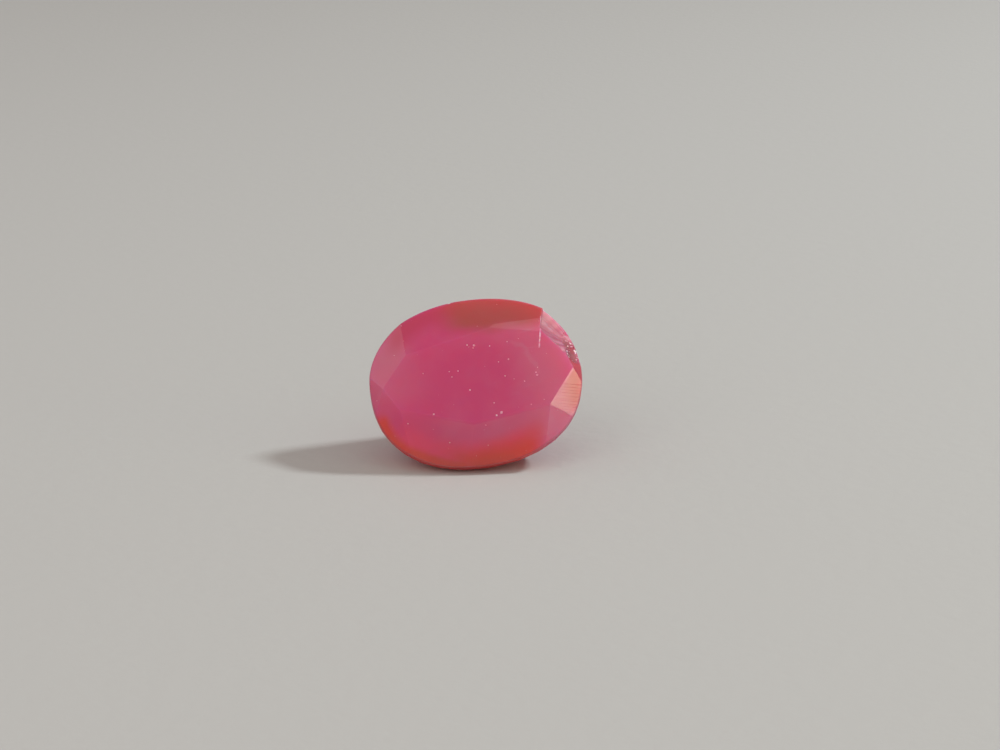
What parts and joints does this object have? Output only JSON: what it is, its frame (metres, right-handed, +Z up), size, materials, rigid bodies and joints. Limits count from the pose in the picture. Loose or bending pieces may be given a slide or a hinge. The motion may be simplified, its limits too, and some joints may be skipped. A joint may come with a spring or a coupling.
{
  "type": "oval faceted ruby gemstone",
  "caption": "Loose oval gemstone with a flat faceted crown over a deep faceted underside, leaning back on one facet, chipped at one end.",
  "frame": {"origin": "on the ground under the middle of the bounding box, as the stone rests", "axes": "+Z up, -Z out of the facet that the stone rests on, +X along the bounding box's longest side, and the table faces -Y and up"},
  "size_m": [0.01, 0.0068, 0.0071],
  "materials": {
    "ruby": "polished facets on milky, translucent pinkish red corundum"
  },
  "bodies": {
    "root": {"ruby": "ruby"}
  },
  "joints": []
}
